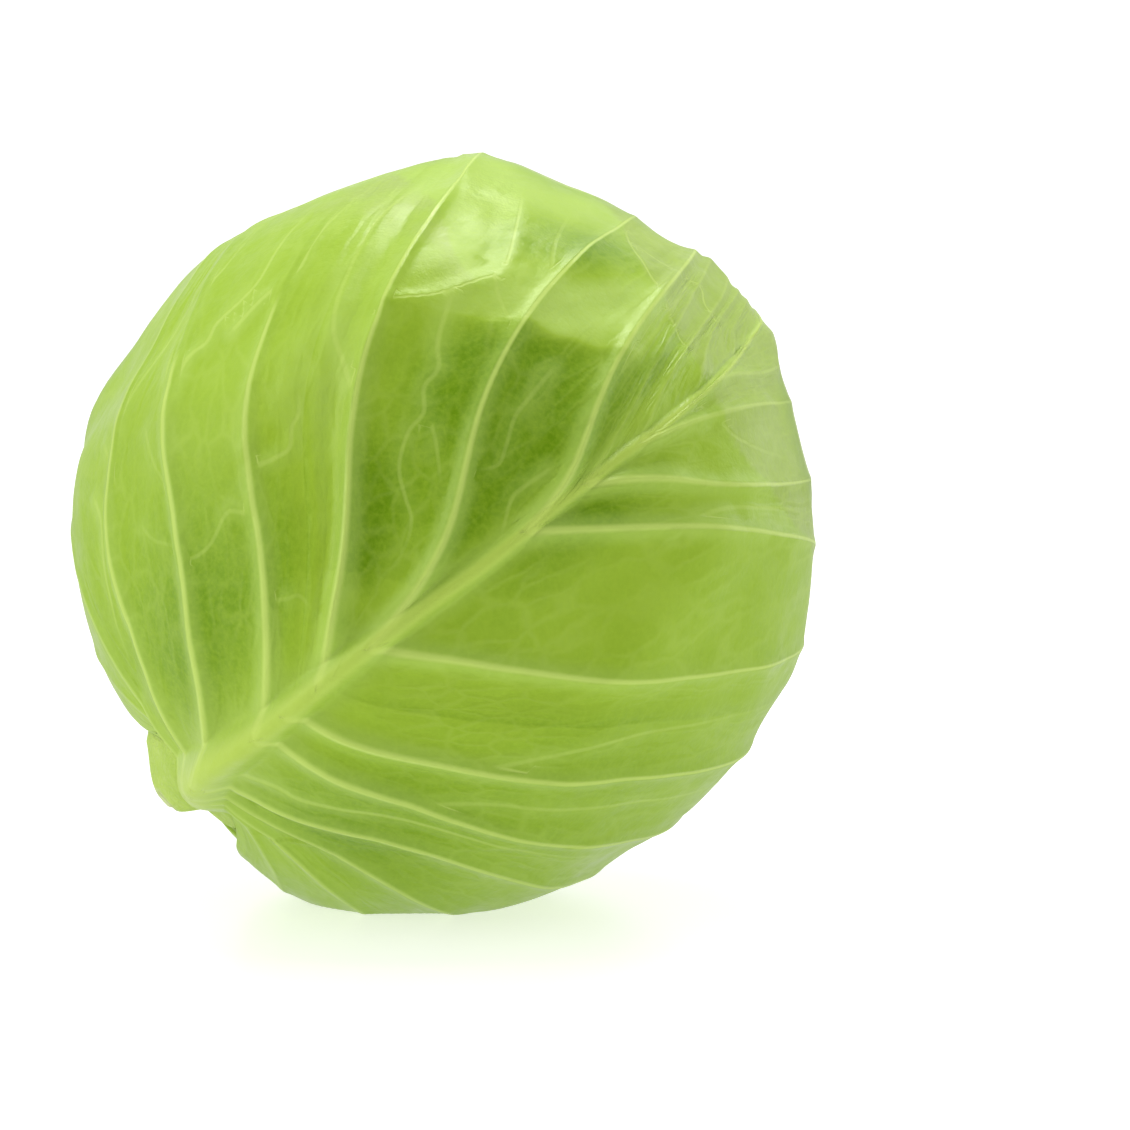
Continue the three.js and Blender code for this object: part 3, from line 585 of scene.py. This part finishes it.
def leaf_mesh(leaf, detail):
    """A closed mesh: the outside as a fine grid, the inside as a coarse one, and the rim between."""
    a = columns_of(leaf, detail["column"])
    s = np.linspace(0, 1, detail["rows"])
    b = s - 0.45 * np.sin(np.pi * s) / np.pi * (1 - 0.35 * s)
    b = b / b[-1]
    b_in = np.linspace(0, 1, detail["inner_rows"]) ** 0.9
    veins = veins_of(leaf)
    points, facts, ids, total = [], [], [], 0
    for half in (0, 1):
        for outside, shares in ((True, b), (False, b_in)):
            aa, bb = np.meshgrid(a, shares, indexing="ij")
            x, y = leaf.chart(half, aa, bb)
            d = leaf.direction(x, y)
            sheet, ribs, known = leaf_relief(leaf, half, aa, bb, d, veins)
            open_ = openness(leaf.order, d)
            length = np.linalg.norm(leaf.at(half, a, 0.999) - leaf.at(half, a, 0.0), axis=1)
            margin = (1 - bb) * (length * HEART_RADIUS * 1.1)[:, None]
            thick = EDGE_THICKNESS + (LEAF_THICKNESS - EDGE_THICKNESS) * smooth(margin / 5)
            r = lay_radius(leaf.order, d) - pressed_in(d) + sheet * open_
            if outside:
                r = r + thick + ribs * open_
            known["margin"], known["open"] = margin, open_
            known["along"] = bb * (length * HEART_RADIUS * 1.1)[:, None]
            if leaf.order == 0:
                floor = np.where(d[..., 2] < -0.5, REST_HEIGHT / np.maximum(-d[..., 2], 0.5), 1e9)
                r = np.minimum(r, floor - (0 if outside else 1) * thick)
            points.append((MIDDLE + d * r[..., None]).reshape(-1, 3))
            facts.append({key: np.asarray(value).reshape(-1) for key, value in known.items()})
            ids.append(np.arange(total, total + aa.size).reshape(aa.shape))
            total += aa.size
    # The halves share the midrib and the tip.
    for side in (0, 1):
        ids[2 + side][:, 0] = ids[side][:, 0]
        ids[2 + side][-1, :] = ids[side][-1, :]
    faces = []
    for half in (0, 1):
        outer, inner = ids[2 * half], ids[2 * half + 1]
        turned = (half == 0) != (leaf.side > 0)
        faces += quads(outer, not turned) + quads(inner, turned)
        rim = np.stack([outer[:, -1], inner[:, -1]], axis=1)
        faces += quads(rim, not turned)
        faces += matched_strip(outer[0], inner[0], turned)
    used, inverse = np.unique(np.concatenate([i.ravel() for i in ids]), return_inverse=True)
    renumber = np.zeros(total, int)
    renumber[np.concatenate([i.ravel() for i in ids])] = inverse
    points = np.concatenate(points)[used]
    facts = {key: np.concatenate([f[key] for f in facts])[used] for key in facts[0]}
    faces = [np.asarray(f) for f in faces]
    faces = [renumber[f] for f in faces]
    return points, faces, facts


def quads(grid, flip):
    q = np.stack([grid[:-1, :-1], grid[1:, :-1], grid[1:, 1:], grid[:-1, 1:]], axis=-1).reshape(-1, 4)
    return [q[:, ::-1] if flip else q]


def matched_strip(fine, coarse, flip):
    """Triangles between two rows with different counts."""
    step = (len(coarse) - 1) / (len(fine) - 1)
    faces, k = [], 0
    for j in range(len(fine) - 1):
        faces.append((fine[j], fine[j + 1], coarse[k]))
        if int((j + 1) * step + 1e-6) > k:
            faces.append((fine[j + 1], coarse[k + 1], coarse[k]))
            k += 1
    t = np.array(faces)
    return [t[:, ::-1] if flip else t]


def mesh_object(name, points, faces, facts=None):
    """A smooth-shaded object from points in mm and arrays of triangles or quads."""
    corners = np.concatenate([f.ravel() for f in faces]).astype(np.int32)
    sizes = np.concatenate([np.full(len(f), f.shape[1]) for f in faces]).astype(np.int32)
    mesh = bpy.data.meshes.new(name)
    mesh.vertices.add(len(points))
    mesh.vertices.foreach_set("co", (points * MM).astype(np.float32).ravel())
    mesh.loops.add(len(corners))
    mesh.loops.foreach_set("vertex_index", corners)
    mesh.polygons.add(len(sizes))
    mesh.polygons.foreach_set("loop_start", np.r_[0, np.cumsum(sizes)[:-1]].astype(np.int32))
    mesh.update(calc_edges=True)
    mesh.validate(verbose=False)
    mesh.polygons.foreach_set("use_smooth", np.ones(len(mesh.polygons), bool))
    for key, values in (facts or {}).items():
        mesh.attributes.new(key, "FLOAT", "POINT").data.foreach_set("value", values.astype(np.float32))
    obj = bpy.data.objects.new(name, mesh)
    bpy.context.scene.collection.objects.link(obj)
    return obj


# ---------------------------------------------------------------- materials
class Tree:
    """A material's nodes, made one call at a time. A socket or a number goes in, a socket comes out."""

    def __init__(self, name):
        self.material = bpy.data.materials.new(name)
        self.material.use_nodes = True
        self.nodes, self.links = self.material.node_tree.nodes, self.material.node_tree.links
        self.nodes.clear()
        self.shader = self.nodes.new("ShaderNodeBsdfPrincipled")
        out = self.nodes.new("ShaderNodeOutputMaterial")
        self.links.new(self.shader.outputs["BSDF"], out.inputs["Surface"])
        self.space = self.nodes.new("ShaderNodeTexCoord").outputs["Object"]

    def put(self, socket, value):
        if isinstance(value, bpy.types.NodeSocket):
            self.links.new(value, socket)
        else:
            socket.default_value = value

    def node(self, kind, inputs, output=0, **settings):
        node = self.nodes.new(kind)
        for key, value in settings.items():
            setattr(node, key, value)
        for key, value in inputs.items():
            self.put(node.inputs[key], value)
        return node.outputs[output]

    def fact(self, name):
        return self.node("ShaderNodeAttribute", {}, "Fac", attribute_name=name)

    def maths(self, operation, a, b=0.0, clamp=False):
        return self.node("ShaderNodeMath", {0: a, 1: b}, operation=operation, use_clamp=clamp)

    def ramp(self, value, low, high, to_low=0.0, to_high=1.0):
        settings = {"interpolation_type": "SMOOTHSTEP"}
        sockets = {"Value": value, "From Min": low, "From Max": high, "To Min": to_low, "To Max": to_high}
        return self.node("ShaderNodeMapRange", sockets, **settings)

    def span(self, value, low, high):
        """Share of the way from low to high, in a straight line."""
        return self.node("ShaderNodeMapRange", {"Value": value, "From Min": low, "From Max": high})

    def mix(self, share, a, b):
        node = self.nodes.new("ShaderNodeMix")
        node.data_type = "RGBA"
        for key, value in ((0, share), (6, a), (7, b)):
            self.put(node.inputs[key], value)
        return node.outputs[2]

    def noise(self, size, detail=2.0, rough=0.5, vector=None):
        """Noise from 0 to 1 with waves of about that many mm."""
        sockets = {"Vector": vector or self.space, "Scale": 1000 / size, "Detail": detail,
                   "Roughness": rough}
        return self.node("ShaderNodeTexNoise", sockets, "Fac")

    def warped(self, size, amount, space=None):
        """Object space, or another, shifted by up to an amount in mm."""
        drift = self.node("ShaderNodeTexNoise", {"Vector": self.space, "Scale": 1000 / size}, "Color")
        centred = self.node("ShaderNodeVectorMath", {0: drift, 1: (0.5, 0.5, 0.5)}, operation="SUBTRACT")
        sockets = {0: centred, 1: (2 * amount * MM,) * 3, 2: space or self.space}
        return self.node("ShaderNodeVectorMath", sockets, operation="MULTIPLY_ADD")

    def cells(self, size, vector=None):
        """Distance to the nearest wall between cells of about that many mm, as a share of the size."""
        sockets = {"Vector": vector or self.space, "Scale": 1000 / size}
        return self.node("ShaderNodeTexVoronoi", sockets, "Distance", feature="DISTANCE_TO_EDGE")

    def bump(self, height, depth, normal=None):
        sockets = {"Height": height, "Distance": depth * MM, "Strength": 1.0}
        if normal is not None:
            sockets["Normal"] = normal
        return self.node("ShaderNodeBump", sockets)

    def finish(self, **sockets):
        for key, value in sockets.items():
            self.put(self.shader.inputs[key.replace("_", " ")], value)
        return self.material


def rgb(r, g, b):
    return (r, g, b, 1.0)


# Colours of leaf tissue in linear light; the deepest green also paints shade, the palest also paints light,
# and the greyer green paints sheen.
DEEP_GREEN_AND_SHADE = rgb(0.14, 0.285, 0.0)
LAMINA = rgb(0.32, 0.50, 0.03)
PALE_GREEN_AND_LIGHT = rgb(0.445, 0.635, 0.125)
SHEEN_GREY = rgb(0.31, 0.42, 0.08)
SPECK = rgb(0.40, 0.58, 0.04)
YOUNG = rgb(0.45, 0.63, 0.11)
VEIN_COLOUR = rgb(0.56, 0.72, 0.16)
STALK_COLOUR = rgb(0.50, 0.66, 0.105)
CREAM = rgb(0.78, 0.82, 0.48)


def leaf_material(name, youth, gloss):
    """Waxy leaf: a green blade between pale veins. youth makes it paler, gloss smoother."""
    t = Tree(name)
    side, gap, width, rank = (t.fact(key) for key in ("side", "gap", "width", "rank"))
    across = t.maths("DIVIDE", t.maths("ABSOLUTE", side), width)
    near = t.ramp(gap, 0.7, 1.6, 1, 0)
    line = t.maths("MULTIPLY", t.maths("MULTIPLY", t.ramp(across, 0.25, 1.5, 1, 0), near), rank)
    flank = t.maths("MULTIPLY", t.ramp(gap, 0.0, 4.0, 1, 0), t.ramp(width, 0.3, 0.8))
    rib = t.ramp(t.fact("rib"), 0.3, 1.0, 1, 0)
    rib_flank = t.ramp(t.fact("rib"), 0.6, 2.6, 1, 0)
    broad = t.maths("SUBTRACT", t.noise(34, 2, 0.5), 0.5)
    patch = t.maths("SUBTRACT", t.noise(11, 3, 0.6), 0.5)
    tone = t.maths("ADD", t.maths("MULTIPLY", broad, 0.35), t.maths("MULTIPLY", patch, 0.22))
    # Random tissue tone, less the deep fact: deepest green where it paints shade, palest where it paints
    # light.
    tone = t.maths("SUBTRACT", tone, t.fact("deep"))
    colour = t.mix(t.span(tone, -1, 0), DEEP_GREEN_AND_SHADE, LAMINA)
    colour = t.mix(t.span(tone, 0, 0.6), colour, PALE_GREEN_AND_LIGHT)
    if youth:
        colour = t.mix(youth, colour, YOUNG)
    # Painted sheen: greyer beyond the fold line, for the pale reflection there.
    colour = t.mix(t.maths("MULTIPLY", t.fact("dull"), 0.65), colour, SHEEN_GREY)
    # A web of fine veins that follows the side veins, and inside it the net of the finest.
    place = t.node("ShaderNodeCombineXYZ", {"X": t.maths("MULTIPLY", t.fact("line"), 4.0),
                                            "Y": t.maths("MULTIPLY", t.fact("along"), 0.075)})
    web = t.cells(1000, t.warped(8, 320, place))
    faint = t.ramp(t.noise(25, 2, 0.5), 0.35, 0.65, 0.35, 1)
    faint = t.maths("MULTIPLY", faint, t.ramp(t.fact("apart"), 7, 14))
    web_line = t.maths("MULTIPLY", t.ramp(web, 0.0, 0.14, 1, 0), faint)
    colour = t.mix(t.maths("MULTIPLY", web_line, 0.13), colour, VEIN_COLOUR)
    net = t.cells(3.6, t.warped(6, 1.6))
    net_line = t.ramp(net, 0.0, 0.2, 1, 0)
    colour = t.mix(t.maths("MULTIPLY", net_line, 0.10), colour, SPECK)
    speck = t.noise(1.1, 2, 0.6)
    colour = t.mix(t.ramp(speck, 0.35, 0.7, 0, 0.16), colour, SPECK)
    # Paler beside the thick veins and towards the stalk.
    colour = t.mix(t.maths("MULTIPLY", flank, 0.42), colour, PALE_GREEN_AND_LIGHT)
    colour = t.mix(t.maths("MULTIPLY", rib_flank, 0.35), colour, PALE_GREEN_AND_LIGHT)
    colour = t.mix(t.maths("MULTIPLY", t.fact("stalk"), 0.6), colour, STALK_COLOUR)
    colour = t.mix(t.maths("MULTIPLY", line, 0.75), colour, VEIN_COLOUR)
    colour = t.mix(t.maths("MULTIPLY", rib, 0.62), colour, STALK_COLOUR)
    # The cut and dried rim is paler, with a narrow darker line inside it.
    margin = t.fact("margin")
    colour = t.mix(t.ramp(margin, 0.2, 1.1, 0.5, 0), colour, CREAM)
    colour = t.mix(t.ramp(margin, 1.0, 7.0, 0.35, 0), colour, DEEP_GREEN_AND_SHADE)
    puff = t.maths("MULTIPLY", t.ramp(web, 0.0, 0.4, 0, 1), t.ramp(t.fact("apart"), 7, 14, 0, 0.8))
    relief = t.maths("ADD", puff, t.maths("MULTIPLY", line, 0.65))
    relief = t.maths("ADD", relief, t.maths("MULTIPLY", t.noise(4.5, 3, 0.6), 0.9))
    relief = t.maths("ADD", relief, t.maths("MULTIPLY", t.noise(1.9, 2, 0.6), 0.35))
    normal = t.bump(relief, 0.16)
    normal = t.bump(t.noise(0.7, 2, 0.6), 0.035, normal)
    rough = t.ramp(t.noise(11, 3, 0.6), 0.3, 0.7, gloss - 0.06, gloss + 0.08)
    sh = t.shader.inputs
    sh["Specular IOR Level"].default_value = 0.28
    sh["Specular Tint"].default_value = rgb(0.92, 1.0, 0.60)
    sh["Coat Weight"].default_value = 0.03
    sh["Coat Roughness"].default_value = 0.2
    sh["Sheen Weight"].default_value = 0.0
    sh["Sheen Roughness"].default_value = 0.45
    sh["Sheen Tint"].default_value = rgb(0.9, 1.0, 0.6)
    return t.finish(Base_Color=colour, Roughness=rough, Normal=normal)


def heart_material():
    t = Tree("heart_leaves")
    tone = t.noise(24, 3, 0.55)
    net = t.ramp(t.cells(6, t.warped(10, 2)), 0.0, 0.13, 1, 0)
    colour = t.mix(t.ramp(tone, 0.35, 0.65), rgb(0.50, 0.70, 0.20), rgb(0.68, 0.80, 0.36))
    colour = t.mix(t.maths("MULTIPLY", net, 0.4), colour, CREAM)
    normal = t.bump(t.maths("ADD", net, t.noise(3, 3, 0.6)), 0.15)
    return t.finish(Base_Color=colour, Roughness=t.ramp(tone, 0.3, 0.7, 0.42, 0.55), Normal=normal)


def stem_material():
    """Pale skin at the side, and on the cut face a ring of bundles round drier pith."""
    t = Tree("cut_stem")
    ring = t.fact("ring")
    face = t.fact("face")
    pith = t.mix(t.ramp(ring, 0.25, 0.75), rgb(0.60, 0.68, 0.30), rgb(0.52, 0.64, 0.22))
    wood = t.maths("MULTIPLY", t.ramp(ring, 0.60, 0.70), t.ramp(ring, 0.78, 0.88, 1, 0))
    spots = t.ramp(t.cells(1.9), 0.05, 0.3, 1, 0)
    pith = t.mix(t.maths("MULTIPLY", wood, t.ramp(spots, 0, 1, 0.25, 0.8)), pith, rgb(0.42, 0.50, 0.16))
    pith = t.mix(t.ramp(t.noise(5, 4, 0.65), 0.5, 0.8, 0, 0.3), pith, rgb(0.50, 0.47, 0.20))
    skin = t.mix(t.ramp(t.noise(9, 3, 0.6), 0.35, 0.7), rgb(0.42, 0.59, 0.085), rgb(0.48, 0.645, 0.11))
    colour = t.mix(face, skin, pith)
    fibres = t.maths("ADD", t.noise(1.2, 3, 0.6), t.maths("MULTIPLY", spots, 0.6))
    return t.finish(Base_Color=colour, Roughness=t.ramp(fibres, 0.3, 1.2, 0.5, 0.75),
                    Normal=t.bump(fibres, 0.22))


# ---------------------------------------------------------------- the stem
STEM_SEGMENTS = 96
# The cap round the stem's axis: mm from the middle of the head, and degrees from the axis.
STEM_CAP = {"top": 95.2, "rim": 86.8, "reach": 8.2, "power": 2.5, "under": 14}
STEM_LOW = {"bearing": -100, "spread": 50, "rim": 1.5, "reach": -4.9}  # cut closer on the lower side
STALK_MEETS = {"rise": 5.2, "bearing": 10, "spread": 36}  # the outermost leaf's stalk runs into it here


def turned_from(turn, bearing):
    return np.abs((turn - bearing + 180) % 360 - 180)


def stem_piece():
    """The cut end of the stem: a worn dome that the outermost stalk runs into, and the shank below it."""
    turn = np.arange(STEM_SEGMENTS) / STEM_SEGMENTS * 360
    low = 1 - smooth((turned_from(turn, STEM_LOW["bearing"]) - STEM_LOW["spread"]) / 35)
    meets = STALK_MEETS["rise"] * bell(turned_from(turn, STALK_MEETS["bearing"]) / STALK_MEETS["spread"])
    rim = STEM_CAP["rim"] + meets + STEM_LOW["rim"] * low + 0.35 * np.cos(np.radians(3 * turn + 40))
    reach = STEM_CAP["reach"] + STEM_LOW["reach"] * low
    tilt = np.r_[np.linspace(0.5, 9.2, 22), np.linspace(9.8, STEM_CAP["under"], 6)][:, None]
    far = rim + (STEM_CAP["top"] - rim) * np.exp(-((tilt / reach) ** STEM_CAP["power"]))
    far = far - 0.9 * (1 - smooth(tilt / 3.0)) - 0.9 * np.maximum(tilt - 9.8, 0)
    a = np.radians(tilt)
    r, z = far * np.sin(a), far * np.cos(a)
    flare = math.tan(math.radians(STEM_FLARE))
    shank = [(77 * flare, 77), (72 * flare, 72), (66 * flare, 66), (STEM_TIP * 0.8, 30),
             (STEM_TIP * 0.85, -STEM_TIP + 9), (STEM_TIP * 0.6, -STEM_TIP + 2.4)]
    r = np.vstack([r, [[q] * STEM_SEGMENTS for q, _ in shank]])
    z = np.vstack([z, [[q] * STEM_SEGMENTS for _, q in shank]])
    across = np.cross(STEM, FRONT)
    t = np.radians(turn)
    ring = (r[..., None] * (np.cos(t)[:, None] * FRONT + np.sin(t)[:, None] * across)
            + z[..., None] * STEM)
    points = np.vstack([STEM * (far[0].mean() - 0.02), ring.reshape(-1, 3), STEM * -STEM_TIP]) + MIDDLE
    rows, n = len(r), STEM_SEGMENTS
    grid = 1 + np.arange(rows * n).reshape(rows, n)
    grid = np.hstack([grid, grid[:, :1]])
    last = len(points) - 1
    first_cap = np.stack([np.zeros(n, int), grid[0, :-1], grid[0, 1:]], axis=1)
    last_cap = np.stack([np.full(n, last), grid[-1, 1:], grid[-1, :-1]], axis=1)
    faces = quads(grid, False) + [first_cap, last_cap]
    whole = np.r_[tilt[:, 0], np.full(len(shank), 12.0)]
    share = np.r_[0, np.repeat(np.minimum(whole / 3.8, 1), n), 1]
    face = np.r_[1, np.repeat(1 - smooth((whole - 3.0) / 0.9), n), 0]
    piece = mesh_object("stem_cut", points, faces, {"ring": share, "face": face})
    piece.data.materials.append(stem_material())
    return piece


# ---------------------------------------------------------------- the head
GLOSS = [0.36, 0.38, 0.38, 0.42, 0.42]
YOUTH = [0.0, 0.22, 0.12, 0.45, 0.55]


def build_head():
    for leaf in leaves:
        points, faces, facts = leaf_mesh(leaf, FINE if leaf.order == 0 else COARSE)
        piece = mesh_object(leaf.name.replace("wrapper_leaf", "leaf_blade"), points, faces, facts)
        piece.data.materials.append(
            leaf_material(f"leaf_tissue_{leaf.order + 1}", YOUTH[leaf.order], GLOSS[leaf.order]))
        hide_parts(leaf.name)
        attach(piece, "root")
    stem = stem_piece()
    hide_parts("stem")
    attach(stem, "root")
    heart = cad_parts["heart"]
    heart.data.materials.clear()
    heart.data.materials.append(heart_material())


# ---------------------------------------------------------------- floor, light and camera
FLOOR_RADIUS = 30.0  # metres
PHOTO = 1130  # pixels, square
PIXEL = 0.2406  # mm on the head
HEAD_PIXEL = (449, 532)  # where the middle of the head is in the photograph
CAMERA = {"elevation": 8, "distance": 4.0}


def stage():
    mesh = bpy.data.meshes.new("floor")
    turns = np.linspace(0, 2 * math.pi, 64, endpoint=False)
    mesh.from_pydata([(FLOOR_RADIUS * math.cos(t), FLOOR_RADIUS * math.sin(t), 0) for t in turns],
                     [], [list(range(64))])
    floor = bpy.data.objects.new("floor", mesh)
    bpy.context.scene.collection.objects.link(floor)
    t = Tree("floor_white")
    t.shader.inputs["Specular IOR Level"].default_value = 0.35
    t.shader.inputs["Emission Color"].default_value = rgb(1, 1, 1)
    t.shader.inputs["Emission Strength"].default_value = 0.6
    mesh.materials.append(t.finish(Base_Color=rgb(0.55, 0.55, 0.55), Roughness=0.28))
    floor.visible_glossy = False


def area_light(name, place, target, size, power, colour=(1, 1, 1)):
    """A softbox at a place, facing a target, both in metres."""
    light = bpy.data.lights.new(name, "AREA")
    light.shape, light.size, light.size_y = "RECTANGLE", *size
    light.energy, light.color = power, colour
    obj = bpy.data.objects.new(name, light)
    from mathutils import Vector
    obj.location = place
    obj.rotation_euler = (Vector(target) - Vector(place)).to_track_quat("-Z", "Y").to_euler()
    bpy.context.scene.collection.objects.link(obj)


def lights():
    head = (0, 0, REST_HEIGHT * MM)
    area_light("softbox_top", (0.03, 0.30, 0.92), head, (0.34, 0.6), 5.0)
    area_light("softbox_left", (-1.0, -0.25, 0.6), head, (0.6, 0.9), 3.7)
    area_light("softbox_right", (0.95, 0.6, 0.45), head, (0.5, 0.9), 2.2)
    world = bpy.data.worlds.new("studio")
    bpy.context.scene.world = world
    world.use_nodes = True
    nodes, links = world.node_tree.nodes, world.node_tree.links
    nodes.clear()
    out = nodes.new("ShaderNodeOutputWorld")
    back = nodes.new("ShaderNodeBackground")
    links.new(back.outputs[0], out.inputs[0])
    # White behind and above, darker on the side that the head's front faces.
    place = nodes.new("ShaderNodeSeparateXYZ")
    links.new(nodes.new("ShaderNodeTexCoord").outputs["Generated"], place.inputs[0])
    def fade(front, behind):
        node = nodes.new("ShaderNodeMapRange")
        node.interpolation_type = "SMOOTHSTEP"
        links.new(place.outputs["Y"], node.inputs["Value"])
        node.inputs["From Min"].default_value, node.inputs["From Max"].default_value = -0.9, 0.1
        node.inputs["To Min"].default_value, node.inputs["To Max"].default_value = front, behind
        return node.outputs[0]
    sight = nodes.new("ShaderNodeLightPath")
    mirrored = nodes.new("ShaderNodeMix")
    links.new(sight.outputs["Is Glossy Ray"], mirrored.inputs[0])
    links.new(fade(0.5, 0.8), mirrored.inputs[2])
    links.new(fade(0.02, 0.8), mirrored.inputs[3])
    strength = nodes.new("ShaderNodeMix")
    links.new(sight.outputs["Is Camera Ray"], strength.inputs[0])
    links.new(mirrored.outputs[0], strength.inputs[2])
    strength.inputs[3].default_value = 1.05
    links.new(strength.outputs[0], back.inputs["Strength"])
    back.inputs["Color"].default_value = (1, 1, 1, 1)


def camera():
    """Set so that the head's middle falls on its pixel of the photograph."""
    from mathutils import Vector
    elevation = math.radians(CAMERA["elevation"])
    up = Vector((0, math.sin(elevation), math.cos(elevation)))
    towards = Vector((0, -math.cos(elevation), math.sin(elevation)))
    right = Vector((1, 0, 0))
    aim = Vector((0, 0, REST_HEIGHT * MM))
    aim += right * (PHOTO / 2 - HEAD_PIXEL[0]) * PIXEL * MM
    aim -= up * (PHOTO / 2 - HEAD_PIXEL[1]) * PIXEL * MM
    data = bpy.data.cameras.new("camera")
    data.sensor_width = 36
    data.lens = 36 * CAMERA["distance"] / (PHOTO * PIXEL * MM)
    data.clip_end = 100
    obj = bpy.data.objects.new("camera", data)
    obj.location = aim + towards * CAMERA["distance"]
    obj.rotation_euler = (-towards).to_track_quat("-Z", "Y").to_euler()
    bpy.context.scene.collection.objects.link(obj)
    bpy.context.scene.camera = obj


build_head()
stage()
lights()
camera()
bpy.context.scene.view_settings.view_transform = "Standard"
bpy.context.scene.view_settings.look = "None"
